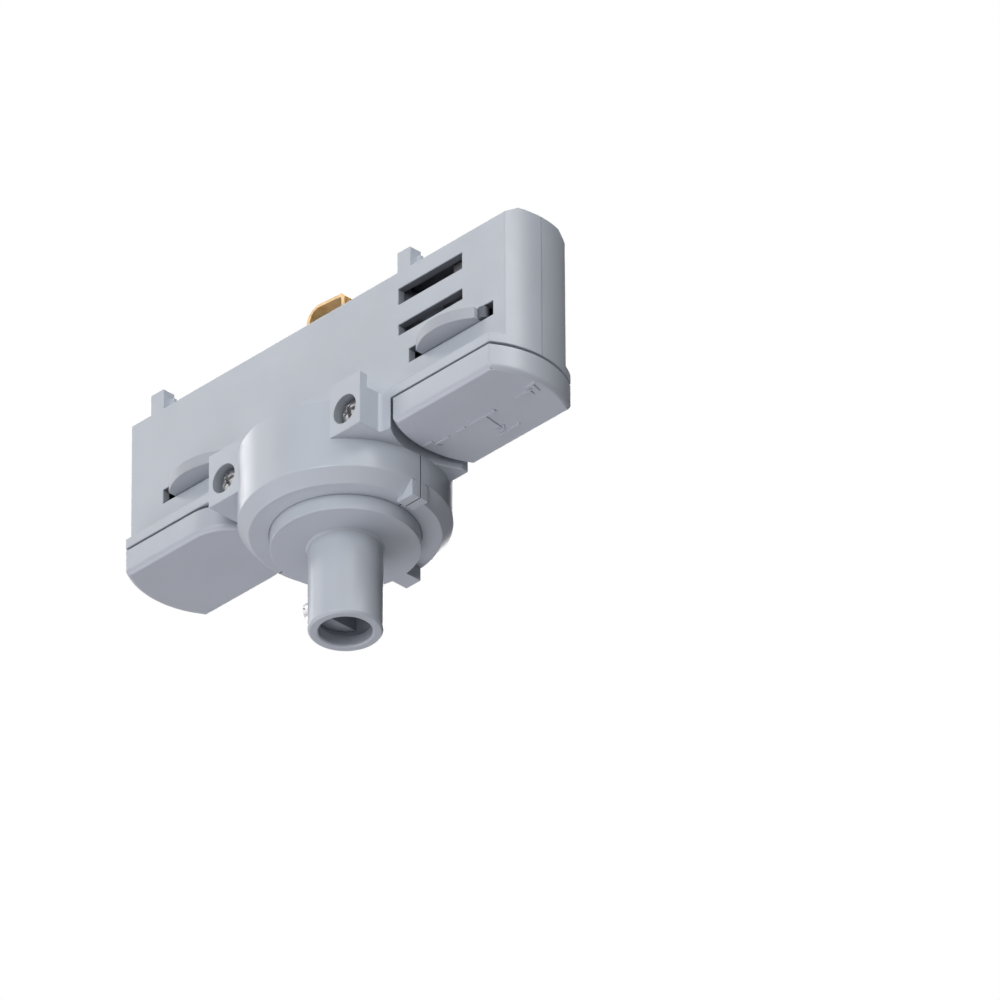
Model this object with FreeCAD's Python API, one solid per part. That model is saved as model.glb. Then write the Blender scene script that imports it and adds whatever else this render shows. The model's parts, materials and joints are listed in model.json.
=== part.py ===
import FreeCAD, Part
import math
import os

# Track light adapter in millimetres. It hangs from a lighting track: +Z points up into the track.
# The origin is on the nipple's axis, level with the ledge that seats under the track.
# The selector lever is at +X, the locking lever at -X, and the screws go in from the front, -Y.

V = FreeCAD.Vector

# Upper body, which goes into the track
body_half = 7.8
body_top = 28.65
bevel_y = 2.7
bevel_z = 1.55
end_r = 18.5
end_right = 52.2
end_left = -51.6
wall = 1.8
floor_top = 1.8
seam_half = 0.11
seam_depth = 0.3
seam_fine = 0.1

# Flange that the levers lie under
flange_half = 10.5
flange_t = 2.1

# Hub that holds the nipple
hub_r = 20.0
hub_depth = 17.1
hub_wall = 2.0
hub_floor = 2.5
hub_bevel_r = 2.1
hub_bevel_z = 2.55
stop_reach = 4.1
rear_tip_x = 21.8
stop_half = 2.1
stop_drop = 1.0
throat_half = 14.5

# Screw lugs and the rails that stand beside the track
block_depth = 8.6
lug_half = 20.2
lug_inner = 12.2
rail_y = 15.8
rail_t = 2.0
rail_h = 2.8
corner_round = 0.8

# Key posts on the front top edge
key_xs = (-42.94, 23.67)
key_w = 3.45
key_d = 2.9
key_rise = 2.85
key_foot = 0.7
key_foot_rise = 1.5
key_foot_d = 1.0

# Levers, their shafts and wings
lock_x = -30.3
select_x = 36.1
lever_gap = 0.25
lever_drop = 0.33
lever_t = 5.47
lever_bevel = 0.7
selector_hub_gap = 0.6
selector_inner_r = 20.46
shaft_r = 4.5
shaft_gap = 0.08
pivot_boss_r = 7.2
pivot_boss_top = 5.2
spring_half = 6.8
spring_t = 0.7
spring_gap = 0.1
wing_r = 12.05
wing_half = 7.7
wing_t = 2.75
wing_bevel = 0.35
slot_gap = 0.14
lock_window_gap = 0.45
select_window_gap = 0.7
stub_r = 2.5
web_gap = 0.65
web_t = 2.0
web_half = 5.0

# Contact drum on the selector's shaft; the two heights are the track's own conductors
neutral_z = 14.2
phase_z = 21.65
neutral_slack = 0.15
phase_slack = 0.7
window_far_gap = 0.65
window_near_gap = 2.5
key_square = 4.6
fit_gap = 0.05
drum_r = 3.9
drum_gap = 0.2
collar_t = 2.2
tongue_h = 2.1
tongue_half = 2.4
tongue_t = 0.6
tongue_reach = 11.4
pin_r = 1.5
pin_sunk = 2.2
pin_bite = 0.75
pin_boss_r = 3.0

# Terminals and the strips that run from them
cell_pitch = 9.5
block_foot = 2.5
block_gap = 0.4
block_top = 16.5
cell_half = 3.1
cell_back = 3.2
cell_floor = 4.2
cell_roof = 2.3
clamp_gap = 0.1
clamp_front = 1.1
wire_half = 1.4
wire_y = -1.0
wire_depth = 6.5
clamp_screw_r = 1.5
strip_t = 0.6
strip_half = 1.2
strip_w = 2.2
strip_gap = 0.3
strip_clear = 0.35
tab_y = 1.5
bump_r = 0.6
bump_sunk = 0.05
contact_gap = 0.1
roof_gap = 0.85
run_gap = 1.1
socket_floor = 0.65
partition_x = 20.6
partition_t = 1.4
partition_h = 15.0

# Earth contact
earth_left = -9.5
earth_right = 0.72
earth_height = 8.4
earth_slope = 1 / 12
earth_t = 0.75
earth_front = -1.05
earth_back = 1.85
earth_big_bend = 2.6
earth_small_bend = 0.4
earth_foot_bend = 0.3
earth_foot = 2.7
earth_gap = 0.15
earth_play = 0.3
earth_travel = 1.8

# Swivel nipple
tube_r = 7.0
tube_end = -38.2
tube_bevel = 0.4
tube_foot = 0.35
bore_r = 5.0
bore_mouth = 2.4
chamber_r = 5.5
disc_r = 14.0
disc_drop = 3.0
disc_sunk = 0.5
disc_gap = 0.3
disc_clear = 0.16
neck_r = 9.0
neck_gap = 0.1
collar_t_in = 1.6
collar_outer = 12.0
collar_gap = 0.2
tab_reach = 17.5
tab_half = 1.92
tab_root = 12.5
tab_gap = 0.25

# Cord clamp in the nipple
clamp_screw_z = -30.0
shoe_flat = 2.3
shoe_height = 9.5
shoe_gap = 0.1
set_screw_r = 2.2
set_screw_out = 2.4
set_screw_bevel = 0.25
set_point_r = 1.4
set_point = 0.95
set_slot = 0.6
set_slot_depth = 1.0
snug = 0.03

# Housing screws
screw_z = -3.85
screw_recess_r = 2.95
screw_recess = 3.2
screw_head_r = 2.5
screw_head_t = 2.0
screw_head_bevel = 0.4
screw_r = 1.45
screw_hole_r = 1.6
screw_pilot_r = 1.5
screw_end = 7.0
screw_end_gap = 0.3
screw_boss_r = 3.4
cross_w = 0.75
cross_r = 1.55
cross_depth = 1.1

# Inner side faces and heights of the pieces inside
side = body_half - wall
lever_top = -flange_t - lever_drop
lever_bottom = lever_top - lever_t
hub_floor_top = hub_floor - hub_depth
wing_z = pivot_boss_top + spring_t + spring_gap
wing_top = wing_z + wing_t
web_z = wing_top + web_gap
neutral_low_z = wing_top + strip_clear + strip_t / 2
neutral_run_z = block_top + run_gap + strip_t / 2
phase_run_z = body_top - wall - roof_gap - strip_t / 2
drum_z = neutral_low_z + strip_t / 2 + 2.5 * drum_gap
drum_top = phase_run_z - strip_t / 2 - drum_gap
socket_top = neutral_z - tongue_h / 2 - socket_floor
strip_outer = side - strip_gap
strip_inner = strip_outer - strip_w
strip_face = strip_outer - strip_t
collar_r = strip_face - drum_gap
bump_y = -strip_face - bump_sunk
tongue_back = -bump_y - bump_r - contact_gap
pin_top = body_top - wall + pin_bite
block_side = side - block_gap
block_half = throat_half + block_foot
cell_z0 = floor_top + cell_floor
cell_z1 = block_top - cell_roof
cell_middle = (cell_z0 + cell_z1) / 2
clamp_top = cell_z1 - clamp_gap
disc_bottom = -hub_depth - disc_drop
disc_top = -hub_depth + disc_sunk
collar_z = hub_floor_top + collar_gap
earth_foot_z = body_top - wall - earth_play - earth_t / 2
screw_xs = (-(lug_inner + lug_half) / 2, (lug_inner + lug_half) / 2)
selector_inner = hub_r + selector_hub_gap
past = 1.0


def box(x0, x1, y0, y1, z0, z1):
    return Part.makeBox(x1 - x0, y1 - y0, z1 - z0, V(x0, y0, z0))


def rod(r, z0, z1, x=0.0, y=0.0):
    return Part.makeCylinder(r, z1 - z0, V(x, y, z0))


def rod_x(r, x0, x1, y, z):
    return Part.makeCylinder(r, x1 - x0, V(x0, y, z), V(1, 0, 0))


def rod_y(r, y0, y1, x, z):
    return Part.makeCylinder(r, y1 - y0, V(x, y0, z), V(0, 1, 0))


def fuse(shapes):
    return shapes[0].multiFuse(shapes[1:]).removeSplitter()


def half_chord(r, offset):
    """Half the chord of a circle at a distance from its centre."""
    return math.sqrt(r ** 2 - offset ** 2)


def plan(half, left, left_r, right, right_r, z0, z1):
    """Upright solid with straight sides at +-half and an arc at each end."""
    x0 = left + left_r - half_chord(left_r, half)
    x1 = right - right_r + half_chord(right_r, half)
    edges = [
        Part.makeLine(V(x0, -half, z0), V(x1, -half, z0)),
        Part.Arc(V(x1, -half, z0), V(right, 0, z0), V(x1, half, z0)).toShape(),
        Part.makeLine(V(x1, half, z0), V(x0, half, z0)),
        Part.Arc(V(x0, half, z0), V(left, 0, z0), V(x0, -half, z0)).toShape(),
    ]
    return Part.Face(Part.Wire(edges)).extrude(V(0, 0, z1 - z0))


def track_plan(half, inset, z0, z1):
    """The plan that the body, the flange and the levers' outer ends share, drawn in by inset."""
    r = end_r - inset
    return plan(half - inset, end_left + inset, r, end_right - inset, r, z0, z1)


def edges_where(shape, test):
    return [e for e in shape.Edges if all(test(v.Point) for v in e.Vertexes)]


def flat_edges(shape, z):
    return edges_where(shape, lambda p: abs(p.z - z) < 1e-4)


def upper_body(inset, z0):
    """The body above the ledge, or its form drawn in by inset on every side."""
    half = body_half - inset
    top = body_top - inset
    ny, nz = bevel_z / math.hypot(bevel_y, bevel_z), bevel_y / math.hypot(bevel_y, bevel_z)
    reach = ny * body_half + nz * (body_top - bevel_z) - inset
    side_top = (reach - ny * half) / nz
    flat_half = (reach - nz * top) / ny
    corners = [(-half, z0), (half, z0), (half, side_top), (flat_half, top), (-flat_half, top), (-half, side_top)]
    ring = [V(end_left, y, z) for y, z in corners]
    profile = Part.Face(Part.makePolygon(ring + ring[:1]))
    bar = profile.extrude(V(end_right - end_left, 0, 0))
    return bar.common(track_plan(body_half, inset, z0, top))


def hub(inset):
    r = hub_r - inset
    bottom = -hub_depth + inset
    cone = Part.makeCone(r - hub_bevel_r, r, hub_bevel_z, V(0, 0, bottom))
    return cone.fuse(rod(r, bottom + hub_bevel_z, 0.0))


def lugs_and_rails():
    """Screw lugs at the front, the blocks beside the levers and the rails beside the track."""
    right = box(0.0, select_x, -flange_half, flange_half, -block_depth, 0.0)
    left = box(-lug_half, 0.0, -flange_half, 0.0, -block_depth, 0.0)
    lugs = [box(x0, x0 + lug_half - lug_inner, -rail_y, past - flange_half, -block_depth, 0.0)
            for x0 in (-lug_half, lug_inner)]
    front_rail = box(-lug_half, lug_half, -rail_y, -rail_y + rail_t, 0.0, rail_h)
    rear_rail = box(-lug_inner, lug_inner, rail_y - rail_t, rail_y, 0.0, rail_h)
    solid = fuse([right, left] + lugs + [front_rail, rear_rail])
    inner_corner = edges_where(solid, lambda p: math.hypot(p.x - lug_half, p.y + flange_half) < 1e-4)
    return solid.makeFillet(corner_round, inner_corner)


def key_post(x):
    low = body_top - 2 * bevel_z
    front = -body_half
    post = box(x - key_w / 2, x + key_w / 2, front, front + key_d, low, body_top + key_rise)
    foot = box(x, x + key_w / 2 + key_foot, front + key_d - key_foot_d, front + key_d, low, body_top + key_foot_rise)
    return post.fuse(foot)


def swivel_stop():
    low = -hub_depth - stop_drop
    rib = box(hub_r - stop_reach, hub_r, -stop_half, stop_half, low, hub_floor_top)
    return rib.common(rod(hub_r, low, 0.0))


def corner_reach():
    """Distance from the selector's axis to the lever's furthest corner."""
    inner = selector_inner + selector_inner_r - half_chord(selector_inner_r, flange_half)
    outer = end_right - end_r + half_chord(end_r, flange_half)
    return max(math.hypot(x - select_x, flange_half) for x in (inner, outer))


def lever_recesses():
    """Room for each lever to turn: the selector both ways, the locking lever to the rear."""
    selector = rod(corner_reach() + lever_gap, -block_depth, -flange_t, select_x)
    reach = flange_half + lever_gap
    lock = rod(reach, -block_depth, -flange_t, lock_x)
    lock_side = box(lock_x, lock_x + reach, 0.0, hub_r, -block_depth, -flange_t)
    rear_tip = box(rear_tip_x, select_x, 0.0, flange_half + past, -block_depth, -flange_t)
    return fuse([selector, lock, lock_side, rear_tip])


def windows():
    """Slots in both side walls for the wings and the contact tongues."""
    reach = body_half + past
    chord = half_chord(wing_r, side)
    cuts = []
    for x, gap in ((lock_x, lock_window_gap), (select_x, select_window_gap)):
        cuts.append(box(x - chord - gap, x + chord + gap, -reach, reach, wing_z - slot_gap, wing_top + slot_gap))
    x0 = select_x - tongue_reach - window_near_gap
    x1 = select_x + tongue_half + window_far_gap
    for z, slack in ((neutral_z, neutral_slack), (phase_z, phase_slack)):
        rise = tongue_h / 2 + slack
        cuts.append(box(x0, x1, -reach, reach, z - rise, z + rise))
    return cuts


def inner_ribs():
    """Bosses, a web and the partition inside the upper body."""
    inside = upper_body(wall / 2, 0.0)
    low = neutral_low_z + strip_gap + strip_t / 2
    ribs = [rod(pivot_boss_r, 0.0, pivot_boss_top, x) for x in (lock_x, select_x)]
    ribs.append(box(lock_x - web_half, lock_x + web_half, -body_half, body_half, web_z, web_z + web_t))
    ribs.append(box(partition_x, partition_x + partition_t, -body_half, body_half, low, low + partition_h))
    ribs.append(rod(pin_boss_r, drum_top + 2 * drum_gap, body_top - wall / 2, select_x))
    return [r.common(inside) for r in ribs]


def screw_holes():
    """Recess, clearance hole and pilot hole on each housing screw's axis."""
    cuts = []
    for x in screw_xs:
        cuts.append(rod_y(screw_recess_r, -rail_y - past, -rail_y + screw_recess, x, screw_z))
        cuts.append(rod_y(screw_hole_r, -rail_y, 0.0, x, screw_z))
        cuts.append(rod_y(screw_pilot_r, 0.0, screw_end + screw_end_gap, x, screw_z))
    return cuts


def nipple_seat():
    """Hole for the nipple's neck and the recess that its disc sits in."""
    low = -hub_depth - stop_drop
    neck = rod(neck_r + neck_gap, low, hub_floor_top + past)
    recess = rod(disc_r + disc_clear, low, disc_top + disc_gap)
    return [neck, recess]


def earth_slots():
    cuts = []
    for x in (earth_left, earth_right - earth_t):
        cuts.append(box(x - earth_gap, x + earth_t + earth_gap, earth_front - earth_gap, earth_back + earth_gap,
                        body_top - wall - past, body_top + past))
    return cuts


def seam_groove():
    """Line where the two shells meet, finer on the body than on the hub."""
    slab = box(end_left - past, end_right + past, -seam_half, seam_half, -hub_depth - stop_drop, body_top + past)
    core = fuse([upper_body(seam_fine, -past), track_plan(flange_half, seam_fine, -flange_t, 0.0),
                 hub(seam_depth)])
    block = box(hub_r - 2 * stop_reach, select_x, -seam_half, seam_half, -block_depth, -flange_t)
    return slab.cut([core, block])


def housing():
    outside = fuse([upper_body(0.0, 0.0), track_plan(flange_half, 0.0, -flange_t, 0.0), hub(0.0),
                    lugs_and_rails(), swivel_stop()] + [key_post(x) for x in key_xs])
    hollow = fuse([upper_body(wall, floor_top),
                   box(-throat_half, throat_half, -side, side, -wall - past, floor_top + past),
                   rod(hub_r - hub_wall, hub_floor_top, -wall)])
    bosses = [rod_y(screw_boss_r, -rail_y + screw_recess, screw_end + wall, x, screw_z) for x in screw_xs]
    shell = outside.cut(hollow).multiFuse(inner_ribs() + bosses)
    holes = [rod(shaft_r + shaft_gap, -flange_t - past, pivot_boss_top + past, x) for x in (lock_x, select_x)]
    holes.append(rod(stub_r + shaft_gap, web_z - past, web_z + web_t + past, lock_x))
    holes.append(rod(pin_r + shaft_gap, drum_top, pin_top + drum_gap, select_x))
    cuts = holes + windows() + screw_holes() + nipple_seat() + earth_slots()
    return shell.cut(cuts + [lever_recesses(), seam_groove()]).removeSplitter()


def half_of(shape, sign):
    """The half of a shape in front of the seam (-1) or behind it (+1)."""
    reach = 2 * hub_r
    low = min(0.0, sign * reach)
    cut = shape.common(box(2 * end_left, 2 * end_right, low, low + reach, 2 * tube_end, 2 * body_top))
    return max(cut.Solids, key=lambda s: s.Volume)


def wing(x):
    """Round plate with two flat sides, its long axis across the track."""
    plate = rod(wing_r, wing_z, wing_top, x)
    plate = plate.common(box(x - wing_half, x + wing_half, -wing_r, wing_r, wing_z, wing_top))
    return plate.makeChamfer(wing_bevel, flat_edges(plate, wing_top))


def paddle(left, left_r, right, right_r):
    """Lever under the flange, bevelled along its lower edge."""
    body = plan(flange_half, left, left_r, right, right_r, lever_bottom, lever_top)
    return body.makeChamfer(lever_bevel, flat_edges(body, lever_bottom))


def lever_shaft(x):
    return rod(shaft_r, lever_top - past, wing_z + past, x)


def locking_lever():
    body = paddle(end_left, end_r, lock_x + flange_half, flange_half)
    stub = rod(stub_r, wing_top - past, web_z + web_t - fit_gap, lock_x)
    return fuse([body, lever_shaft(lock_x), wing(lock_x), stub])


def selector_lever():
    body = paddle(selector_inner, selector_inner_r, end_right, end_r)
    half = key_square / 2
    key = box(select_x - half, select_x + half, -half, half, wing_top - past, socket_top - contact_gap)
    return fuse([body, lever_shaft(select_x), wing(select_x), key])


def spring_plate(x):
    """Flat spring between a pivot boss and its wing, as wide as the walls allow."""
    top = pivot_boss_top + spring_t
    half = side - contact_gap
    plate = box(x - spring_half, x + spring_half, -half, half, pivot_boss_top, top)
    return plate.cut(rod(shaft_r + 2 * shaft_gap, pivot_boss_top, top, x))


def contact_drum():
    """Moulded drum on the selector's square key, with a slot for each contact."""
    drum = rod(drum_r, drum_z, drum_top, select_x)
    collar = rod(collar_r, drum_top - collar_t, drum_top, select_x)
    half = key_square / 2 + fit_gap
    socket = box(select_x - half, select_x + half, -half, half, drum_z - past, socket_top)
    slot_half = tongue_half + fit_gap
    slots = [box(select_x - slot_half, select_x + slot_half, -collar_r, collar_r,
                 z - tongue_h / 2 - fit_gap, z + tongue_h / 2 + fit_gap) for z in (neutral_z, phase_z)]
    pin_hole = rod(pin_r + snug, drum_top - pin_sunk, drum_top + past, select_x)
    return fuse([drum, collar]).cut([socket, pin_hole] + slots)


def drum_pin():
    return rod(pin_r, drum_top - pin_sunk, pin_top, select_x)


def hairpin(half, z0, z1):
    """Upright prism of a tongue's outline: straight sides, a round nose and a back that turns freely."""
    nose_y = tongue_reach - tongue_half
    prism = box(select_x - half, select_x + half, -tongue_back, nose_y, z0, z1)
    prism = prism.fuse(rod(half, z0, z1, select_x, nose_y))
    turning = rod(tongue_back, z0, z1, select_x).fuse(box(select_x - half, select_x + half, 0.0, tongue_reach, z0, z1))
    return prism.common(turning)


def tongue(z):
    """Bent strip with a round nose, held in the drum's slot."""
    low = z - tongue_h / 2
    top = z + tongue_h / 2
    nose_y = tongue_reach - tongue_half
    inner_half = tongue_half - tongue_t
    eye = box(select_x - inner_half, select_x + inner_half, tongue_t - tongue_back, nose_y, low, top)
    return hairpin(tongue_half, low, top).cut([eye, rod(inner_half, low, top, select_x, nose_y)]).removeSplitter()


def strip_plate(x0, x1, y0, y1, z):
    return box(x0, x1, y0, y1, z - strip_t / 2, z + strip_t / 2)


def contact_bump(z):
    return rod_x(bump_r, select_x - strip_half, select_x + strip_half, bump_y, z)


def terminal_tab(x, run_z):
    """The strip's foot on its clamp and the stretch across to the front wall."""
    tab = box(x - strip_half, x + strip_half, tab_y - strip_t / 2, tab_y + strip_t / 2,
              clamp_top, run_z + strip_t / 2)
    return tab.fuse(strip_plate(x - strip_half, x + strip_half, -strip_outer, tab_y, run_z))


def phase_collector():
    """Strip from the live terminal, over the drum's shoulder and down behind its upper contact."""
    end = select_x + strip_half
    run = strip_plate(cell_pitch, end, -strip_outer, -strip_inner, phase_run_z)
    drop = box(select_x - strip_half, end, -strip_outer, -strip_face, phase_z - 2 * bump_r,
               phase_run_z + strip_t / 2)
    return fuse([terminal_tab(cell_pitch, phase_run_z), run, drop, contact_bump(phase_z)])


def neutral_collector():
    """Strip from the neutral terminal, down beside the partition and up behind the lower contact."""
    end = select_x + strip_half
    low = neutral_low_z - strip_t / 2
    drop_x = (partition_x + block_half) / 2
    x0 = drop_x - strip_t / 2
    run = strip_plate(0.0, x0 + strip_t, -strip_outer, -strip_inner, neutral_run_z)
    drop = box(x0, x0 + strip_t, -strip_outer, -strip_inner, low, neutral_run_z + strip_t / 2)
    under = strip_plate(x0, end, -strip_outer, -strip_inner, neutral_low_z)
    rise = box(select_x - strip_half, end, -strip_outer, -strip_face, low, neutral_z + 2 * bump_r)
    return fuse([terminal_tab(0.0, neutral_run_z), run, drop, under, rise, contact_bump(neutral_z)])


def cell_centres():
    return {"earth": -cell_pitch, "neutral": 0.0, "phase": cell_pitch}


def terminal_block():
    """Moulded carrier with three cells, standing on the floor either side of the hub's throat."""
    block = box(-block_half, block_half, -block_side, block_side, floor_top, block_top)
    cuts = []
    for name, x in cell_centres().items():
        slot_y = 0.0 if name == "earth" else tab_y
        slot_x_half = strip_t / 2 if name == "earth" else strip_half
        slot_y_half = strip_half if name == "earth" else strip_t / 2
        cuts.append(box(x - cell_half, x + cell_half, -block_side - past, cell_back, cell_z0, cell_z1))
        half = wire_half + strip_gap
        cuts.append(box(x - half, x + half, wire_y - half, wire_y + half, floor_top, cell_z0))
        cuts.append(box(x - slot_x_half - clamp_gap, x + slot_x_half + clamp_gap, slot_y - slot_y_half - clamp_gap,
                        slot_y + slot_y_half + clamp_gap, cell_z1 - past, block_top + past))
    return block.cut(cuts)


def terminal_clamp(x):
    """Brass cage with a hole for the conductor from below and a screw from the front."""
    half = cell_half - clamp_gap
    cage = box(x - half, x + half, -block_side + clamp_front, cell_back - clamp_gap, cell_z0, clamp_top)
    wire = box(x - wire_half, x + wire_half, wire_y - wire_half, wire_y + wire_half, cell_z0, cell_z0 + wire_depth)
    hole = rod_y(clamp_screw_r + snug, -block_side, wire_y, x, cell_middle)
    return cage.cut([wire, hole])


def terminal_screw(x):
    """Grub screw through the cage's front wall and a little way into the conductor's hole."""
    return rod_y(clamp_screw_r, -block_side + contact_gap, wire_y - wire_half + strip_gap, x, cell_middle)


def terminal_screws():
    return Part.makeCompound([terminal_screw(x) for x in cell_centres().values()])


def bent_path(points, radii):
    """Wire of straight runs joined by tangent arcs, one radius for each inner point."""
    edges = []
    start = points[0]
    for before, corner, after, r in zip(points, points[1:], points[2:], radii):
        to_corner = (corner - before).normalize()
        from_corner = (after - corner).normalize()
        turn = to_corner.getAngle(from_corner)
        cut = r * math.tan(turn / 2)
        first = corner - to_corner * cut
        last = corner + from_corner * cut
        inward = (from_corner - to_corner).normalize()
        middle = corner + inward * (r / math.cos(turn / 2) - r)
        edges.append(Part.makeLine(start, first))
        edges.append(Part.Arc(first, middle, last).toShape())
        start = last
    edges.append(Part.makeLine(start, points[-1]))
    return Part.Wire(edges)


def bent_strip(points, radii, t, front, back):
    """Strip along a path of (x, z) points, from front to back in Y."""
    path = bent_path([V(x, front, z) for x, z in points], radii)
    return path.makeOffset2D(t / 2, 2, True, False, False).extrude(V(0, back - front, 0))


def earth_contact():
    """Hat-shaped spring strip: a crown above the body and two feet held under its roof."""
    t = earth_t / 2
    left = earth_left + t
    right = earth_right - t
    crown_left = body_top + earth_height - t
    crown_right = crown_left - earth_slope * (right - left)
    points = [(left - earth_foot, earth_foot_z), (left, earth_foot_z), (left, crown_left),
              (right, crown_right), (right, earth_foot_z), (right + earth_foot, earth_foot_z)]
    inner_radii = (earth_foot_bend, earth_big_bend, earth_small_bend, earth_foot_bend)
    return bent_strip(points, [r + t for r in inner_radii], earth_t, earth_front, earth_back)


def earth_strap():
    """Folded spring leaf from the earth terminal to below the contact's left foot."""
    x = -cell_pitch
    rest_z = earth_foot_z - (earth_t + strip_t) / 2 - earth_travel - contact_gap
    out = earth_left - earth_foot - 3 * strip_t
    points = [(x, clamp_top + strip_t / 2), (x, neutral_run_z), (out, neutral_run_z + strip_w),
              (out, rest_z), (out + earth_foot + strip_half, rest_z)]
    path = Part.makePolygon([V(px, -strip_half, pz) for px, pz in points])
    return path.makeOffset2D(strip_t / 2, 2, True, False, False).extrude(V(0, 2 * strip_half, 0))


def swivel_nipple():
    """Tube, disc, neck and inner collar as one turned piece, with the stop tab on the disc."""
    tube = rod(tube_r, tube_end, disc_bottom)
    tube = tube.makeChamfer(tube_bevel, flat_edges(tube, tube_end))
    foot = Part.makeCone(tube_r, tube_r + tube_foot, tube_foot, V(0, 0, disc_bottom - tube_foot))
    body = fuse([tube, foot, rod(disc_r, disc_bottom, disc_top), rod(neck_r, disc_top, collar_z),
                 rod(collar_outer, collar_z, collar_z + collar_t_in)])
    tab = box(-tab_half, tab_half, tab_root, tab_reach, disc_bottom, -hub_depth - tab_gap)
    mouth = rod(bore_r, tube_end - past, tube_end + bore_mouth + past)
    chamber = rod(chamber_r, tube_end + bore_mouth, collar_z + collar_t_in + past)
    screw_hole = rod_x(set_screw_r + shaft_gap, -tube_r - past, 0.0, 0.0, clamp_screw_z)
    return fuse([body, tab]).cut([mouth, chamber, screw_hole])


def clamp_shoe():
    """Segment of a round bar that the set screw pushes across the bore."""
    r = chamber_r - shoe_gap
    low = clamp_screw_z - shoe_height / 2
    shoe = rod(r, low, low + shoe_height)
    shoe = shoe.common(box(-r, -shoe_flat, -r, r, low, low + shoe_height))
    return shoe.cut(rod_x(set_point_r + snug, -r - past, -r + set_point, 0.0, clamp_screw_z))


def clamp_screw():
    """Slotted set screw through the tube's wall, its point in the shoe."""
    top = -tube_r - set_screw_out
    tip = -chamber_r + shoe_gap
    thread = rod_x(set_screw_r, top, tip - snug, 0.0, clamp_screw_z)
    thread = thread.makeChamfer(set_screw_bevel, edges_where(thread, lambda p: abs(p.x - top) < 1e-4))
    point = rod_x(set_point_r, tip - past, tip + set_point, 0.0, clamp_screw_z)
    slot = box(top, top + set_slot_depth, -set_screw_r, set_screw_r,
               clamp_screw_z - set_slot / 2, clamp_screw_z + set_slot / 2)
    return fuse([thread, point]).cut(slot)


def housing_screw(x):
    """Pan head screw with a cross recess, seated at the bottom of the lug's recess."""
    seat = -rail_y + screw_recess
    top = seat - screw_head_t
    head = rod_y(screw_head_r, top, seat, x, screw_z)
    head = head.makeChamfer(screw_head_bevel, edges_where(head, lambda p: abs(p.y - top) < 1e-4))
    shank = rod_y(screw_r, seat - contact_gap, screw_end, x, screw_z)
    half = cross_w / 2
    cross = [box(x - dx, x + dx, top, top + cross_depth, screw_z - dz, screw_z + dz)
             for dx, dz in ((cross_r, half), (half, cross_r))]
    return fuse([head, shank]).cut(cross)


def housing_screws():
    return Part.makeCompound([housing_screw(x) for x in screw_xs])


def main():
    os.makedirs("parts", exist_ok=True)
    shell = housing()
    nodes = {
        "front_housing": half_of(shell, -1),
        "rear_housing": half_of(shell, 1),
        "housing_screws": housing_screws(),
        "locking_lever": locking_lever(),
        "selector_lever": selector_lever(),
        "locking_spring": spring_plate(lock_x),
        "selector_spring": spring_plate(select_x),
        "contact_drum": contact_drum(),
        "drum_pin": drum_pin(),
        "neutral_contact": tongue(neutral_z),
        "phase_contact": tongue(phase_z),
        "neutral_collector": neutral_collector(),
        "phase_collector": phase_collector(),
        "terminal_block": terminal_block(),
        "terminal_screws": terminal_screws(),
        "earth_contact": earth_contact(),
        "earth_strap": earth_strap(),
        "swivel_nipple": swivel_nipple(),
        "clamp_shoe": clamp_shoe(),
        "clamp_screw": clamp_screw(),
    }
    for name, x in cell_centres().items():
        nodes[name + "_clamp"] = terminal_clamp(x)
    for name, shape in nodes.items():
        shape.exportStep("parts/" + name + ".step")


main()
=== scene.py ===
import json
import math

import bmesh
import bpy
from mathutils import Matrix, Vector


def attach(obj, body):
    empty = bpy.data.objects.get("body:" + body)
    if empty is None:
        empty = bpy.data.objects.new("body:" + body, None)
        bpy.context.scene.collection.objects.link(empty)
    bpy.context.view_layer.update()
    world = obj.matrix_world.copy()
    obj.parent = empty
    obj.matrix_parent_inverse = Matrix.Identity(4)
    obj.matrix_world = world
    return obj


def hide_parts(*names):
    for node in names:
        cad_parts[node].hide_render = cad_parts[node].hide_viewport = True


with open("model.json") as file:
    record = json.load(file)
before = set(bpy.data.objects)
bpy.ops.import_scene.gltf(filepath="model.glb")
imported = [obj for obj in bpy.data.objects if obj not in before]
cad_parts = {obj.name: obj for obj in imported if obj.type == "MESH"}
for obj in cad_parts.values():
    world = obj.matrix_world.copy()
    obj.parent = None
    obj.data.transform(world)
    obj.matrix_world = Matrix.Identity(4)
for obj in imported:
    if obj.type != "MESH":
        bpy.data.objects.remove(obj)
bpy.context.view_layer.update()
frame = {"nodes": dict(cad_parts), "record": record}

MM = 0.001
NODES = frame["nodes"]
BODY_OF = {n: body for body, names in frame["record"]["behaviour"]["bodies"].items() for n in names}

# The photograph's camera, in degrees, millimetres and pixels
VIEW_AZIMUTH = 46.246
VIEW_ELEVATION = -33.232
VIEW_DISTANCE = 3124.8
PIXELS_PER_MM = 5.3966
AXIS_PIXEL = (346.0, 430.0)
ORIGIN_PIXEL = (345.47, 458.37)
IMAGE = 1000.0
SENSOR = 36.0

# Colours as linear light
GREY = (0.522, 0.560, 0.623)
LEVER_GREY = (0.515, 0.550, 0.614)
WING_GREY = (0.43, 0.455, 0.505)
# Painted shade: the housing's inner faces, the walls of its side openings and of the screw recesses, darker
# than the housing grey
INNER_PAINTED_SHADE = (0.33, 0.355, 0.40)
# Painted shade, the darkest: the ceilings and deep faces inside the body, and the seam groove on the hub
SHADE_GREY = (0.19, 0.205, 0.24)
BRASS = (0.80, 0.56, 0.20)
BRONZE = (0.82, 0.53, 0.23)
BRONZE_EDGE = (0.58, 0.41, 0.235)
STEEL = (0.62, 0.60, 0.57)

# Grain of the moulded and the drawn surfaces and softness of their edges, in millimetres
GRAIN = 0.22
GRAIN_DEPTH = 0.004
DRAWN_LINES = 0.25
DRAWN_DEPTH = 0.004
EDGE = 0.14

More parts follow.
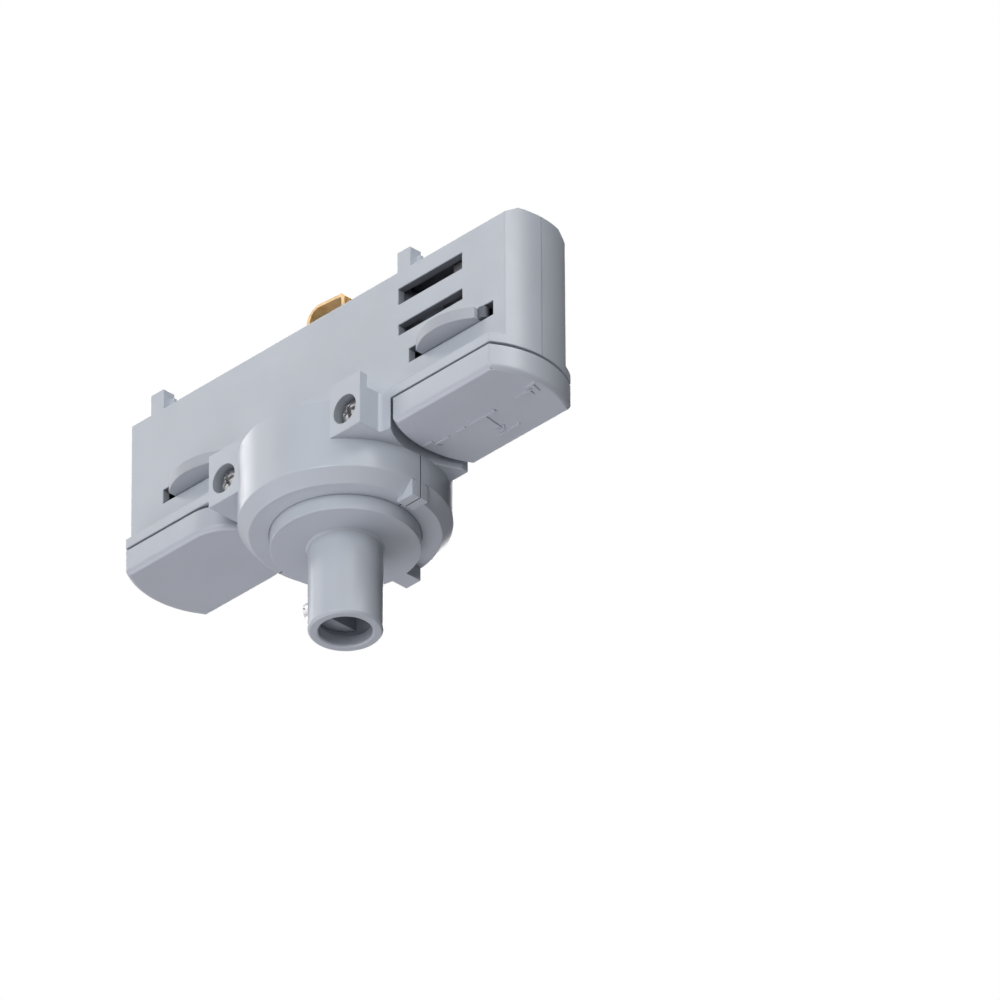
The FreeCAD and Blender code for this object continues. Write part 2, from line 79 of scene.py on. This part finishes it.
# Lengths shared with the solids, in millimetres
BODY_HALF = 7.8
BODY_TOP = 28.65
WALL = 1.8
END_R = 18.5
END_CENTRES = (-33.1, 33.7)
HUB_R = 20.0
DISC_R = 14.0
DISC_RIM = 14.11
DISC_SEAT = -17.3
LEVER_TOP = -2.43
LEVER_BOTTOM = -7.9
SELECT_X = 36.1
PIN_HOLE = 2.5
BORE_R = 5.0
TUBE_END = -38.2
SET_SCREW_Z = -30.0
SET_SCREW_HOLE = 2.6
SCREW_XS = (-16.2, 16.2)
SCREW_Z = -3.85
SCREW_HOLE = 2.0
SCREW_RECESS_R = 2.95
SCREW_SEAT = -12.6
SCREW_FACE = -15.8
SCREW_HEAD_R = 2.5
SCREW_R = 1.45
SCREW_END = 7.0

# Joining and rounding of the solids' edges, in millimetres and degrees
MERGE = 0.002
SHARP = 28.0
SHORTEST = 0.3
FINE = 0.16
PADDLE_ROUND = 0.33
MOUTH_ROUND = 0.5
STRIP_ROUND = 0.12
RIM_DROP = 0.2
SMOOTH_BELOW = 33.0

# Domed screw heads with their cross recess, in millimetres and radians
HEAD_SIDE = 1.3
HEAD_RIM = 1.62
DOME_R = SCREW_HEAD_R - 0.18
DOME_RISE = 0.48
DOME_STEPS = 24
SCREW_SIDES = 72
CROSS_ARM = 1.5
CROSS_HALF = 0.42
CROSS_DEPTH = 0.95
ARM_SLOPE = 0.35
SIDE_SLOPE = 0.16
CROSS_TURNS = (0.5, 0.2)

# Raised strokes under the selector lever, from point to point
STROKE_W = 0.46
STROKE_H = 0.3
STROKE_STEP = 0.007
STROKES = [
    ((21.9, -0.9), (23.8, -0.9)), ((23.8, -0.9), (23.8, 0.2)), ((23.8, 0.2), (27.2, 0.2)),
    ((23.7, 1.0), (24.2, 1.1)), ((29.6, 0.2), (31.5, 0.2)), ((33.0, 0.2), (39.1, 0.2)),
    ((36.7, 0.2), (36.05, 5.7)), ((35.2, 4.8), (36.05, 5.8)), ((36.9, 4.9), (36.05, 5.8)),
    ((34.0, 6.6), (39.2, 6.6)), ((45.35, 0.1), (49.0, 0.1)), ((48.7, -1.0), (51.0, -1.0)),
    ((50.4, -1.0), (49.8, 1.3)), ((48.5, 0.1), (48.3, 1.4)),
]
DOT = ((39.0, 0.2), (39.15, 0.2))
DOT_W = 0.9
DOT_H = 0.31

# Dark post at the end of the selector's wing, painted shade standing for the shadow there: its foot's
# centre, then (radius, height) upwards
POST_FOOT = (44.35, -7.35, 6.1)
POST_RINGS = [(1.0, 0.0), (1.1, 0.1), (1.1, 2.4), (1.0, 2.5)]
POST_SIDES = 24

# Surroundings, in metres
FLOOR_HALF = 6.0
FLOOR_Z = -2.1
FLAG_HALF = 0.75
FLAG_DISTANCE = 0.9
LAMP_DISTANCE = 1.2


def view_axes():
    """The camera's right, up and backward directions."""
    a = math.radians(VIEW_AZIMUTH)
    e = math.radians(VIEW_ELEVATION)
    back = Vector((math.sin(a) * math.cos(e), -math.cos(a) * math.cos(e), math.sin(e)))
    right = Vector((math.cos(a), math.sin(a), 0.0))
    return right, back.cross(right), back


def link(thing):
    bpy.context.scene.collection.objects.link(thing)


def facing_origin(way, distance):
    """Place of something that faces the origin from that way."""
    return Matrix.Translation(way * distance) @ way.to_track_quat("Z", "Y").to_matrix().to_4x4()


def square(name, half, z):
    """Level square about the Z axis, with its mesh."""
    mesh = bpy.data.meshes.new(name)
    corners = [(-half, -half, z), (half, -half, z), (half, half, z), (-half, half, z)]
    mesh.from_pydata(corners, [], [(0, 1, 2, 3)])
    made = bpy.data.objects.new(name, mesh)
    link(made)
    return made, mesh


def add_camera():
    """Camera at the photograph's place; the lens's shift gives the photograph's framing."""
    right, up, back = view_axes()
    aside = AXIS_PIXEL[0] - ORIGIN_PIXEL[0]
    above = ORIGIN_PIXEL[1] - AXIS_PIXEL[1]
    aim = (right * aside + up * above) / PIXELS_PER_MM
    data = bpy.data.cameras.new("camera")
    data.sensor_width = SENSOR
    data.lens = PIXELS_PER_MM * VIEW_DISTANCE * SENSOR / IMAGE
    data.shift_x = 0.5 - AXIS_PIXEL[0] / IMAGE
    data.shift_y = AXIS_PIXEL[1] / IMAGE - 0.5
    data.clip_start = 0.05
    data.clip_end = 100.0
    camera = bpy.data.objects.new("camera", data)
    turn = Matrix((right, up, back)).transposed().to_4x4()
    camera.matrix_world = Matrix.Translation((aim + back * VIEW_DISTANCE) * MM) @ turn
    link(camera)
    bpy.context.scene.camera = camera


def new_material(name):
    made = bpy.data.materials.new(name)
    made.use_nodes = True
    tree = made.node_tree
    tree.nodes.clear()
    out = tree.nodes.new("ShaderNodeOutputMaterial")
    shader = tree.nodes.new("ShaderNodeBsdfPrincipled")
    tree.links.new(shader.outputs["BSDF"], out.inputs["Surface"])
    return made, tree, shader


def noise(tree, scale, detail=2.0, stretch=(1.0, 1.0, 1.0)):
    """Noise whose features are scale millimetres across, on the object's own coordinates."""
    place = tree.nodes.new("ShaderNodeTexCoord")
    mapping = tree.nodes.new("ShaderNodeMapping")
    mapping.inputs["Scale"].default_value = [s / (scale * MM) for s in stretch]
    texture = tree.nodes.new("ShaderNodeTexNoise")
    texture.inputs["Scale"].default_value = 1.0
    texture.inputs["Detail"].default_value = detail
    tree.links.new(place.outputs["Object"], mapping.inputs["Vector"])
    tree.links.new(mapping.outputs["Vector"], texture.inputs["Vector"])
    return texture.outputs["Fac"]


def spread(tree, value, low, high):
    """The value's middle range spread from low to high."""
    node = tree.nodes.new("ShaderNodeMapRange")
    node.inputs["From Min"].default_value = 0.3
    node.inputs["From Max"].default_value = 0.7
    node.inputs["To Min"].default_value = low
    node.inputs["To Max"].default_value = high
    tree.links.new(value, node.inputs["Value"])
    return node.outputs["Result"]


def tint(tree, value, colour, low, high):
    """The colour made darker or lighter by the value."""
    ramp = tree.nodes.new("ShaderNodeMix")
    ramp.data_type = "RGBA"
    ramp.inputs["A"].default_value = [c * low for c in colour] + [1.0]
    ramp.inputs["B"].default_value = [min(1.0, c * high) for c in colour] + [1.0]
    tree.links.new(value, ramp.inputs["Factor"])
    return ramp.outputs["Result"]


def bump(tree, height, depth, below):
    """Fine relief on top of the normal from below."""
    node = tree.nodes.new("ShaderNodeBump")
    node.inputs["Strength"].default_value = 1.0
    node.inputs["Distance"].default_value = depth * MM
    tree.links.new(height, node.inputs["Height"])
    tree.links.new(below, node.inputs["Normal"])
    return node.outputs["Normal"]


def soft_edges(tree):
    """Normal that runs softly round the sharp edges."""
    node = tree.nodes.new("ShaderNodeBevel")
    node.samples = 6
    node.inputs["Radius"].default_value = EDGE * MM
    return node.outputs["Normal"]


def plastic(name, colour, roughness=0.33):
    """Moulded plastic: fine spark-eroded grain, faint flow marks and slightly rounded edges."""
    made, tree, shader = new_material(name)
    flow = spread(tree, noise(tree, 16.0, 3.0, (1.0, 1.6, 1.2)), 0.0, 1.0)
    tree.links.new(tint(tree, flow, colour, 0.975, 1.02), shader.inputs["Base Color"])
    gloss = spread(tree, noise(tree, 5.0, 3.0), roughness - 0.035, roughness + 0.035)
    tree.links.new(gloss, shader.inputs["Roughness"])
    fine = noise(tree, GRAIN, 2.0)
    tree.links.new(bump(tree, fine, GRAIN_DEPTH, soft_edges(tree)), shader.inputs["Normal"])
    shader.inputs["Specular IOR Level"].default_value = 0.5
    return made


def metal(name, colour, roughness, stretch):
    """Metal with fine drawn lines and uneven polish."""
    made, tree, shader = new_material(name)
    patch = spread(tree, noise(tree, 3.0, 4.0), 0.0, 1.0)
    tree.links.new(tint(tree, patch, colour, 0.86, 1.08), shader.inputs["Base Color"])
    lines = noise(tree, DRAWN_LINES, 3.0, stretch)
    tree.links.new(spread(tree, lines, roughness - 0.06, roughness + 0.10), shader.inputs["Roughness"])
    tree.links.new(bump(tree, lines, DRAWN_DEPTH, soft_edges(tree)), shader.inputs["Normal"])
    shader.inputs["Metallic"].default_value = 1.0
    return made


def paint(node, made):
    """Give a CAD node its finished material."""
    data = NODES[node].data
    if not data.materials:
        data.materials.append(made)
    for i in range(len(data.materials)):
        data.materials[i] = made


def face_angle(edge):
    """Angle between an edge's two faces, in degrees."""
    return math.degrees(edge.calc_face_angle(0.0))


def corners_of(edge):
    """An edge's two ends, in millimetres."""
    return [v.co / MM for v in edge.verts]


def shared_mesh(node):
    """The CAD node's mesh with its coplanar triangles joined into whole faces."""
    bm = bmesh.new()
    bm.from_mesh(NODES[node].data)
    bmesh.ops.remove_doubles(bm, verts=bm.verts, dist=MERGE * MM)
    bmesh.ops.dissolve_limit(bm, angle_limit=math.radians(0.6), verts=bm.verts, edges=bm.edges)
    return bm


def round_edges(bm, test, width, segments=3):
    """Round the outward edges that pass the test."""
    chosen = [e for e in bm.edges if e.is_manifold and e.is_convex and face_angle(e) > SHARP
              and e.calc_length() > SHORTEST * MM and test(*corners_of(e))]
    bmesh.ops.bevel(bm, geom=chosen, offset=width * MM, offset_type="OFFSET", segments=segments,
                    profile=0.5, affect="EDGES", clamp_overlap=False, loop_slide=True, material=-1)


def mark_smooth(bm):
    """Smooth shading everywhere but across the real edges."""
    bmesh.ops.recalc_face_normals(bm, faces=bm.faces)
    for face in bm.faces:
        face.smooth = True
    for edge in bm.edges:
        edge.smooth = edge.is_manifold and face_angle(edge) < SMOOTH_BELOW


def new_piece(name, bm, body, materials, node=None):
    """Finished piece on its body; it replaces the node if one is named."""
    mesh = bpy.data.meshes.new(name)
    mark_smooth(bm)
    bm.to_mesh(mesh)
    bm.free()
    piece = bpy.data.objects.new(name, mesh)
    link(piece)
    for made in materials:
        mesh.materials.append(made)
    normals = piece.modifiers.new("normals", "WEIGHTED_NORMAL")
    normals.keep_sharp = True
    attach(piece, body)
    if node:
        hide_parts(node)


def on_seam(a, b):
    """Edges where the two shells meet."""
    return abs(a.y) < 0.3 and abs(b.y) < 0.3


def on_rear_rim(a, b):
    """Hub's upper rim at the back, where the rear rail's ends nearly reach it."""
    return all(abs(p.z) < 0.05 and p.y > 10.0 and math.hypot(p.x, p.y) > HUB_R - 0.2 for p in (a, b))


def in_small_hole(a, b):
    """Edges round the screws' and the pin's holes, which are hidden behind what fills them."""
    middle = (a + b) / 2
    by_screw = abs(abs(middle.x) - SCREW_XS[1]) < SCREW_HOLE and abs(middle.z - SCREW_Z) < SCREW_HOLE
    by_pin = abs(middle.x - SELECT_X) < PIN_HOLE and abs(middle.y) < PIN_HOLE
    return by_screw or by_pin


def in_set_screw_hole(a, b):
    """Edges of the set screw's hole through the tube."""
    middle = (a + b) / 2
    return abs(middle.y) < SET_SCREW_HOLE and abs(middle.z - SET_SCREW_Z) < SET_SCREW_HOLE


def in_cavity(p):
    """Inner faces of the upper body and the walls of the openings in its sides."""
    if not 0.6 < p.z < BODY_TOP - WALL or abs(p.y) > BODY_HALF - 0.25:
        return False
    past_left = p.x < END_CENTRES[0] and math.hypot(p.x - END_CENTRES[0], p.y) > END_R - 0.3
    past_right = p.x > END_CENTRES[1] and math.hypot(p.x - END_CENTRES[1], p.y) > END_R - 0.3
    return not past_left and not past_right


def in_screw_recess(p):
    """Walls of the recesses that the housing screws' heads lie in."""
    by_screw = min(math.hypot(p.x - x, p.z - SCREW_Z) for x in SCREW_XS) < SCREW_RECESS_R + 0.1
    return by_screw and SCREW_FACE + 0.12 < p.y < SCREW_SEAT + 0.1


def in_seam(p):
    """The groove between the two shells on the hub."""
    return abs(p.y) < 0.115 and p.z < -2.2


def dress_housing(grey, inner, shade):
    """Both shells, with painted shade: inner faces darker, and ceilings, what lies deep inside and the seam
    groove the darkest.
    """
    deep = BODY_HALF - WALL - 0.1
    for node in ("front_housing", "rear_housing"):
        bm = shared_mesh(node)
        round_edges(bm, lambda a, b: not (on_seam(a, b) or on_rear_rim(a, b) or in_small_hole(a, b)), FINE)
        for face in bm.faces:
            p = face.calc_center_median() / MM
            # Painted shade: darkest on the seam groove, the cavity's ceilings and its deep faces; darker on
            # the other cavity faces and the screw recess walls
            if in_seam(p) or (in_cavity(p) and (face.normal.z < -0.7 or abs(p.y) < deep)):
                face.material_index = 2
            elif in_cavity(p) or in_screw_recess(p):
                face.material_index = 1
        new_piece(node + "_skin", bm, BODY_OF[node], [grey, inner, shade], node)


def on_paddle(a, b):
    """Lower and upright edges of a lever's paddle."""
    top = max(a.z, b.z)
    return top < -7.0 or (abs(a.z - b.z) > 3.0 and top < -2.0)


def dress_lever(node, lever, wing):
    """Paddle with well rounded corners and a slightly low upper rim; its wing is darker."""
    bm = shared_mesh(node)
    for vert in bm.verts:
        if abs(vert.co.z / MM - LEVER_TOP) < 0.02 and math.hypot(vert.co.x, vert.co.y) > 12.0 * MM:
            vert.co.z -= RIM_DROP * MM
    round_edges(bm, on_paddle, PADDLE_ROUND)
    round_edges(bm, lambda a, b: min(a.z, b.z) > -3.0, FINE)
    for face in bm.faces:
        face.material_index = int(face.calc_center_median().z > 3.0 * MM)
    new_piece(node + "_skin", bm, BODY_OF[node], [lever, wing], node)


def at_mouth(a, b):
    """Edges of the bore at the tube's end."""
    middle = (a + b) / 2
    return middle.z < TUBE_END + 0.1 and math.hypot(middle.x, middle.y) < BORE_R + 0.1


def near_mouth(a, b):
    """Edges of the bore's mouth, also once it is rounded."""
    middle = (a + b) / 2
    return middle.z < TUBE_END + 0.8 and math.hypot(middle.x, middle.y) < BORE_R + 0.8


def dress_nipple(grey):
    """Nipple with a rounded bore mouth; its disc fills its recess almost fully at the rim."""
    bm = shared_mesh("swivel_nipple")
    for vert in bm.verts:
        x, y, z = vert.co / MM
        if z > DISC_SEAT and abs(math.hypot(x, y) - DISC_R) < 0.03:
            vert.co.x *= DISC_RIM / DISC_R
            vert.co.y *= DISC_RIM / DISC_R
    round_edges(bm, at_mouth, MOUTH_ROUND, 4)
    round_edges(bm, lambda a, b: not in_set_screw_hole(a, b) and not near_mouth(a, b), FINE)
    new_piece("swivel_nipple_skin", bm, "nipple", [grey], "swivel_nipple")


def dress_earth(face_metal, edge_metal):
    """Bent strip whose sheared edges are duller than its rolled faces."""
    bm = shared_mesh("earth_contact")
    round_edges(bm, lambda a, b: True, STRIP_ROUND)
    for face in bm.faces:
        face.material_index = int(abs(face.normal.y) > 0.5)
    new_piece("earth_contact_skin", bm, "earth", [face_metal, edge_metal], "earth_contact")


def join_loops(bm, lower, upper):
    """Wall of four-sided faces between two closed loops."""
    for i in range(len(lower)):
        j = (i + 1) % len(lower)
        bm.faces.new((lower[i], lower[j], upper[j], upper[i]))


def ring(bm, centre, axes, r, height, sides):
    """Closed loop of vertices; the height is a function of the angle."""
    out, across, up = axes
    loop = []
    for i in range(sides):
        t = 2 * math.pi * i / sides
        spot = centre + out * height(t) + across * (r * math.cos(t)) + up * (r * math.sin(t))
        loop.append(bm.verts.new(spot * MM))
    return loop


def turned(bm, centre, axes, rings, sides):
    """Turned surface of rings of (radius, height), closed at its foot; gives its last loop."""
    loops = [ring(bm, centre, axes, r, lambda t: h, sides) for r, h in rings]
    for lower, upper in zip(loops, loops[1:]):
        join_loops(bm, lower, upper)
    bm.faces.new(list(reversed(loops[0])))
    return loops[-1]


def cross_dip(a, b):
    """Depth of the cross recess at a point of the screw's head."""
    def arm(along, side):
        inside = min((CROSS_ARM - abs(along)) / ARM_SLOPE, (CROSS_HALF - abs(side)) / SIDE_SLOPE)
        return max(0.0, min(1.0, inside))
    return CROSS_DEPTH * max(arm(a, b), arm(b, a))


def head_height(r, turn):
    """Height of the domed head at a radius, as a function of the angle."""
    dome = HEAD_RIM + DOME_RISE * (1 - (r / DOME_R) ** 2)
    return lambda t: dome - cross_dip(r * math.cos(t - turn), r * math.sin(t - turn))


def add_screws(steel):
    """Domed screws with a cross recess, in place of the plain ones."""
    bm = bmesh.new()
    axes = (Vector((0, -1, 0)), Vector((1, 0, 0)), Vector((0, 0, 1)))
    for x, turn in zip(SCREW_XS, CROSS_TURNS):
        centre = Vector((x, SCREW_SEAT, SCREW_Z))
        shank = [(SCREW_R, -(SCREW_END - SCREW_SEAT)), (SCREW_R, 0.02)]
        side = [(SCREW_HEAD_R, 0.02), (SCREW_HEAD_R, HEAD_SIDE)]
        rim = [(SCREW_HEAD_R - 0.06, 1.5), (DOME_R, HEAD_RIM)]
        loop = turned(bm, centre, axes, shank + side + rim, SCREW_SIDES)
        for k in range(1, DOME_STEPS):
            r = DOME_R * (1 - k / DOME_STEPS)
            inner = ring(bm, centre, axes, r, head_height(r, turn), SCREW_SIDES)
            join_loops(bm, loop, inner)
            loop = inner
        bm.faces.new(loop)
    new_piece("cross_screws", bm, "housing", [steel], "housing_screws")


def stroke(bm, start, end, width, height):
    """Raised line with rounded ends under the selector lever."""
    ax, ay = start
    bx, by = end
    heading = math.atan2(by - ay, bx - ax)
    levels = [
        (width / 2 + 0.04, LEVER_BOTTOM + 0.03),
        (width / 2, LEVER_BOTTOM - height * 0.8),
        (width / 2 - 0.06, LEVER_BOTTOM - height),
    ]
    loops = []
    for half, z in levels:
        loop = []
        for (x, y), first in (((bx, by), -0.5), ((ax, ay), 0.5)):
            for i in range(7):
                t = heading + math.pi * (first + i / 6)
                loop.append(bm.verts.new(Vector((x + half * math.cos(t), y + half * math.sin(t), z)) * MM))
        loops.append(loop)
    for lower, upper in zip(loops, loops[1:]):
        join_loops(bm, lower, upper)
    bm.faces.new(loops[-1])
    bm.faces.new(list(reversed(loops[0])))


def add_strokes(lever):
    """Raised signs, each a little lower than the last, so that no two tops share a plane."""
    bm = bmesh.new()
    for i, (start, end) in enumerate(STROKES):
        stroke(bm, start, end, STROKE_W, STROKE_H - STROKE_STEP * i)
    stroke(bm, *DOT, DOT_W, DOT_H)
    new_piece("lever_signs", bm, "selector", [lever])


def add_wing_shade_post(dark):
    """Small dark round post at the end of the selector's wing; its dark colour is painted shade."""
    bm = bmesh.new()
    axes = (Vector((0, 0, 1)), Vector((1, 0, 0)), Vector((0, 1, 0)))
    bm.faces.new(turned(bm, Vector(POST_FOOT), axes, POST_RINGS, POST_SIDES))
    new_piece("wing_shade_post", bm, "selector", [dark])


def dress_nodes():
    """Every node's finish, and the pieces that stand in for some of them."""
    grey = plastic("housing_grey", GREY)
    lever = plastic("lever_grey", LEVER_GREY)
    wing = plastic("wing_grey", WING_GREY, 0.5)
    # Painted shade for the housing's inner faces and screw recesses, and a darker painted shade for its
    # ceilings, deep faces and seam groove
    inner = plastic("inner_painted_shade", INNER_PAINTED_SHADE, 0.5)
    shade = plastic("shade_grey", SHADE_GREY, 0.55)
    # Dark plastic: the drum's own colour, and painted shade on the post at the end of the selector's wing
    dark = plastic("dark_plastic_and_shade", (0.11, 0.12, 0.145), 0.5)
    block = plastic("block_grey", (0.20, 0.21, 0.24), 0.5)
    shoe = plastic("shoe_grey", (0.30, 0.32, 0.37), 0.5)
    earth = metal("earth_bronze", BRONZE, 0.42, (0.15, 1.0, 0.15))
    earth_edge = metal("earth_edge", BRONZE_EDGE, 0.45, (0.5, 1.0, 0.5))
    brass = metal("strip_brass", BRASS, 0.3, (0.15, 1.0, 0.15))
    nickel = metal("contact_nickel", (0.50, 0.50, 0.49), 0.3, (0.2, 1.0, 0.2))
    cage = metal("cage_brass", (0.70, 0.50, 0.22), 0.34, (1.0, 1.0, 0.2))
    steel = metal("zinc_steel", STEEL, 0.2, (1.0, 1.0, 1.0))
    screw = metal("screw_steel", (0.46, 0.46, 0.465), 0.24, (1.0, 1.0, 1.0))
    set_screw = metal("set_screw_steel", (0.86, 0.86, 0.87), 0.34, (1.0, 1.0, 1.0))
    dull = metal("collector_nickel", (0.26, 0.26, 0.27), 0.4, (0.2, 1.0, 0.2))
    spring = metal("spring_steel", (0.40, 0.41, 0.43), 0.35, (0.2, 1.0, 1.0))
    finishes = {
        dark: ("contact_drum",),
        block: ("terminal_block",),
        shoe: ("clamp_shoe",),
        brass: ("earth_strap",),
        dull: ("neutral_collector", "phase_collector"),
        nickel: ("neutral_contact", "phase_contact"),
        cage: ("earth_clamp", "neutral_clamp", "phase_clamp"),
        steel: ("terminal_screws", "drum_pin"),
        set_screw: ("clamp_screw",),
        spring: ("locking_spring", "selector_spring"),
    }
    for made, names in finishes.items():
        for name in names:
            paint(name, made)
    dress_housing(grey, inner, shade)
    dress_lever("locking_lever", lever, wing)
    dress_lever("selector_lever", lever, wing)
    dress_nipple(grey)
    dress_earth(earth, earth_edge)
    add_screws(screw)
    add_strokes(lever)
    add_wing_shade_post(dark)


def add_floor():
    """Pale floor, well below the camera, which looks up at the object."""
    floor, mesh = square("floor", FLOOR_HALF, FLOOR_Z)
    made, _, shader = new_material("floor")
    shader.inputs["Base Color"].default_value = (0.86, 0.86, 0.86, 1.0)
    shader.inputs["Roughness"].default_value = 0.9
    mesh.materials.append(made)


def area_light(name, direction, size, power, colour):
    """Soft lamp that faces the object from a direction given as camera right, up and back."""
    right, up, back = view_axes()
    way = (right * direction[0] + up * direction[1] + back * direction[2]).normalized()
    data = bpy.data.lights.new(name, "AREA")
    data.shape = "DISK"
    data.size = size
    data.energy = power
    data.color = colour
    lamp = bpy.data.objects.new(name, data)
    lamp.matrix_world = facing_origin(way, LAMP_DISTANCE)
    link(lamp)


def add_background(tree, colour, strength):
    node = tree.nodes.new("ShaderNodeBackground")
    node.inputs["Color"].default_value = colour
    node.inputs["Strength"].default_value = strength
    return node.outputs[0]


def larger(tree, first, second):
    node = tree.nodes.new("ShaderNodeMath")
    node.operation = "MAXIMUM"
    tree.links.new(first, node.inputs[0])
    tree.links.new(second, node.inputs[1])
    return node.outputs[0]


def add_world(strength):
    """White where it is seen, mirrored or looked through at; dim as a source of light."""
    world = bpy.data.worlds.new("world")
    bpy.context.scene.world = world
    world.use_nodes = True
    tree = world.node_tree
    tree.nodes.clear()
    out = tree.nodes.new("ShaderNodeOutputWorld")
    dim = add_background(tree, (0.92, 0.96, 1.0, 1.0), strength)
    white = add_background(tree, (1.0, 1.0, 1.0, 1.0), 1.0)
    path = tree.nodes.new("ShaderNodeLightPath")
    seen = larger(tree, path.outputs["Is Camera Ray"], path.outputs["Is Glossy Ray"])
    seen = larger(tree, seen, path.outputs["Is Transmission Ray"])
    mix = tree.nodes.new("ShaderNodeMixShader")
    tree.links.new(seen, mix.inputs["Fac"])
    tree.links.new(dim, mix.inputs[1])
    tree.links.new(white, mix.inputs[2])
    tree.links.new(mix.outputs[0], out.inputs["Surface"])


def add_flag():
    """Black card off to the right and behind, so that the right-hand edges turn dark."""
    right, up, back = view_axes()
    way = (right * 0.75 + up * 0.05 - back * 0.45).normalized()
    flag, mesh = square("flag", FLAG_HALF, 0.0)
    flag.matrix_world = facing_origin(way, FLAG_DISTANCE)
    flag.visible_camera = False
    made, _, shader = new_material("flag")
    shader.inputs["Base Color"].default_value = (0.02, 0.02, 0.02, 1.0)
    shader.inputs["Roughness"].default_value = 0.9
    shader.inputs["Specular IOR Level"].default_value = 0.0
    mesh.materials.append(made)


def add_lights():
    """Soft lamps round the object, and a weak light from above for the floor and the roof."""
    white = (1.0, 1.0, 1.0)
    area_light("rim", (-0.64, 0.16, -0.75), 0.5, 1.9, white)
    area_light("side", (-0.83, 0.44, -0.33), 0.5, 1.0, white)
    area_light("front", (-0.36, 0.52, 0.78), 0.7, 8.7, white)
    area_light("top", (0.28, 0.88, 0.36), 0.7, 2.2, white)
    area_light("band", (0.60, 0.775, 0.20), 0.4, 2.6, white)
    area_light("under", (0.0, -0.9, 0.43), 1.0, 2.6, (1.0, 0.955, 1.0))
    area_light("under_left", (-0.58, -0.76, 0.28), 1.0, 4.6, (1.0, 0.97, 1.0))
    area_light("back", (0.15, 0.1, -0.98), 0.8, 9.0, white)
    overhead = bpy.data.lights.new("overhead", "SUN")
    overhead.energy = 0.35
    overhead.angle = 0.5
    link(bpy.data.objects.new("overhead", overhead))


add_camera()
dress_nodes()
add_floor()
add_flag()
add_lights()
add_world(0.04)

bpy.context.scene.view_settings.view_transform = "Standard"
